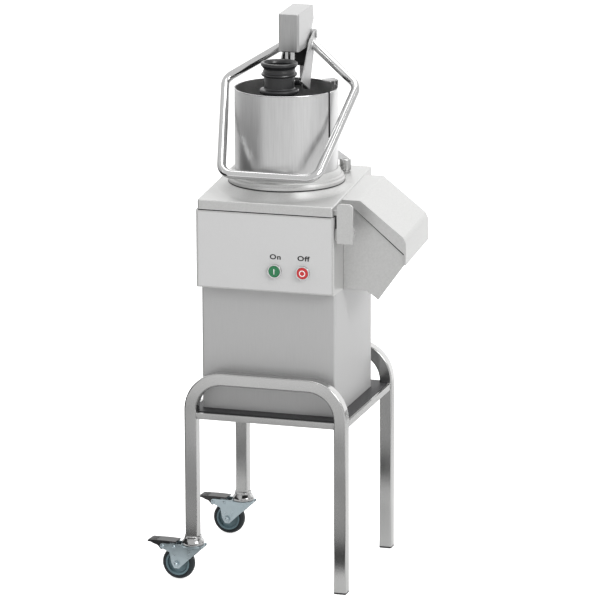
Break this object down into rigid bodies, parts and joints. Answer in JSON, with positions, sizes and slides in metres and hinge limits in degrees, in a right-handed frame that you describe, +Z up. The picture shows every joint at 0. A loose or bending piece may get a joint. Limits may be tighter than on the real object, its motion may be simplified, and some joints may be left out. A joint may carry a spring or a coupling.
{
  "type": "vegetable cutting machine",
  "caption": "Upright vegetable cutting machine on a wheeled tube stand, with a hopper, a lever-driven pusher with its own feed tube, and a side discharge chute.",
  "frame": {"origin": "middle of the bounding box footprint, at floor level", "axes": "+Z up, the control panel faces -Y, the discharge chute is on the +X side"},
  "size_m": [0.5702, 0.414, 1.2544],
  "materials": {
    "brushed_stainless": "fine brushed",
    "polished_steel": "polished",
    "cast_alloy": "satin, blasted",
    "machined_steel": "turned",
    "motor_paint": "satin",
    "plate_zinc": "matte",
    "shelf_black": "matte",
    "zinc_castor": "zinc plated",
    "wheel_centre": "matte",
    "wheel_tyre": "matte",
    "pedal_black": "matte",
    "black_plastic": "satin",
    "white_plastic": "satin",
    "plate_grey": "satin",
    "belt_rubber": "matte",
    "bezel_ring": "satin",
    "button_green": "gloss",
    "button_red": "gloss"
  },
  "bodies": {
    "stand": {"front_frame_tube": "brushed_stainless", "rear_frame_tube": "brushed_stainless", "side_rails": "brushed_stainless", "cross_rails": "brushed_stainless", "shelf_plate": "shelf_black", "leg_plugs": "black_plastic", "castor_sockets": "brushed_stainless", "motor_housing": "brushed_stainless", "base_plate": "plate_zinc", "cable_gland": "black_plastic", "motor_plate": "plate_zinc", "motor_body": "motor_paint", "drive_belt": "belt_rubber", "bearing_housing": "cast_alloy", "shaft_bearings": "machined_steel", "upper_casing": "cast_alloy", "discharge_chute": "brushed_stainless", "control_panel": "cast_alloy", "button_bezels": "bezel_ring", "switch_blocks": "black_plastic", "head_hinge_pins": "polished_steel", "latch_pin": "polished_steel"},
    "feed_head": {"feed_head_lid": "cast_alloy", "collar_ring": "cast_alloy", "hopper": "brushed_stainless", "rim_tab": "brushed_stainless", "locking_knob": "polished_steel", "hopper_gusset": "brushed_stainless", "lever_column": "brushed_stainless", "pivot_pin": "polished_steel"},
    "lever": {"bail_handle": "polished_steel", "lever_channel": "brushed_stainless"},
    "pusher": {"pusher_head": "brushed_stainless", "pusher_rod": "polished_steel", "pusher_plate": "plate_grey", "feed_tube": "black_plastic", "cross_pin": "polished_steel", "lever_rollers": "white_plastic"},
    "cutting_set": {"drive_shaft": "machined_steel", "driven_pulley": "machined_steel", "ejector_disc": "white_plastic", "slicing_disc": "machined_steel", "disc_blades": "machined_steel", "disc_hub": "black_plastic"},
    "motor_rotor": {"motor_shaft": "machined_steel", "drive_pulley": "machined_steel"},
    "latch": {"latch_bar": "cast_alloy"},
    "start_button": {"on_button": "button_green"},
    "stop_button": {"off_button": "button_red"},
    "front_castor": {"front_castor_fork": "zinc_castor", "front_castor_axle": "machined_steel"},
    "front_wheel": {"front_castor_hub": "wheel_centre", "front_castor_tyre": "wheel_tyre"},
    "front_brake": {"front_castor_pedal": "pedal_black"},
    "rear_castor": {"rear_castor_fork": "zinc_castor", "rear_castor_axle": "machined_steel"},
    "rear_wheel": {"rear_castor_hub": "wheel_centre", "rear_castor_tyre": "wheel_tyre"},
    "rear_brake": {"rear_castor_pedal": "pedal_black"}
  },
  "joints": [
    {"name": "head_hinge", "type": "hinge", "parent": "stand", "child": "feed_head", "pos_m": [-0.014, 0.143, 0.88], "axis": [-1, 0, 0], "range_deg": [0, 90]},
    {"name": "lever_hinge", "type": "hinge", "parent": "feed_head", "child": "lever", "pos_m": [-0.014, 0.114, 1.188], "axis": [-1, 0, 0], "range_deg": [0, 86]},
    {"name": "pusher_slide", "type": "slide", "parent": "feed_head", "child": "pusher", "axis": [0, 0, 1], "range_m": [0, 0.1812]},
    {"name": "drive_spin", "type": "hinge", "parent": "stand", "child": "cutting_set", "pos_m": [-0.014, -0.012, 0.7], "axis": [0, 0, 1], "continuous": true},
    {"name": "motor_spin", "type": "hinge", "parent": "stand", "child": "motor_rotor", "pos_m": [-0.094, 0.062, 0.6], "axis": [0, 0, 1], "continuous": true},
    {"name": "latch_hinge", "type": "hinge", "parent": "stand", "child": "latch", "pos_m": [0.168, -0.158, 0.808], "axis": [1, 0, 0], "range_deg": [0, 60]},
    {"name": "on_press", "type": "slide", "parent": "stand", "child": "start_button", "axis": [0, 1, 0], "range_m": [0, 0.003], "stiffness_N_per_m": 400},
    {"name": "off_press", "type": "slide", "parent": "stand", "child": "stop_button", "axis": [0, 1, 0], "range_m": [0, 0.003], "stiffness_N_per_m": 400},
    {"name": "front_swivel", "type": "hinge", "parent": "stand", "child": "front_castor", "pos_m": [-0.1815, -0.181, 0.09], "axis": [0, 0, 1], "continuous": true},
    {"name": "front_wheel_spin", "type": "hinge", "parent": "front_castor", "child": "front_wheel", "pos_m": [-0.21545, -0.17922, 0.0375], "axis": [0.0523, 0.9986, 0], "continuous": true},
    {"name": "front_brake_hinge", "type": "hinge", "parent": "front_castor", "child": "front_brake", "pos_m": [-0.24841, -0.17749, 0.0755], "axis": [-0.0523, -0.9986, 0], "range_deg": [0, 9]},
    {"name": "rear_swivel", "type": "hinge", "parent": "stand", "child": "rear_castor", "pos_m": [-0.1815, 0.181, 0.09], "axis": [0, 0, 1], "continuous": true},
    {"name": "rear_wheel_spin", "type": "hinge", "parent": "rear_castor", "child": "rear_wheel", "pos_m": [-0.21545, 0.18278, 0.0375], "axis": [0.0523, 0.9986, 0], "continuous": true},
    {"name": "rear_brake_hinge", "type": "hinge", "parent": "rear_castor", "child": "rear_brake", "pos_m": [-0.24841, 0.18451, 0.0755], "axis": [-0.0523, -0.9986, 0], "range_deg": [0, 9]}
  ],
  "couplings": [
    {"joint": "pusher_slide", "follows": "lever_hinge", "m_per_rad": 0.12053},
    {"joint": "motor_spin", "follows": "drive_spin", "ratio": 4.1}
  ]
}
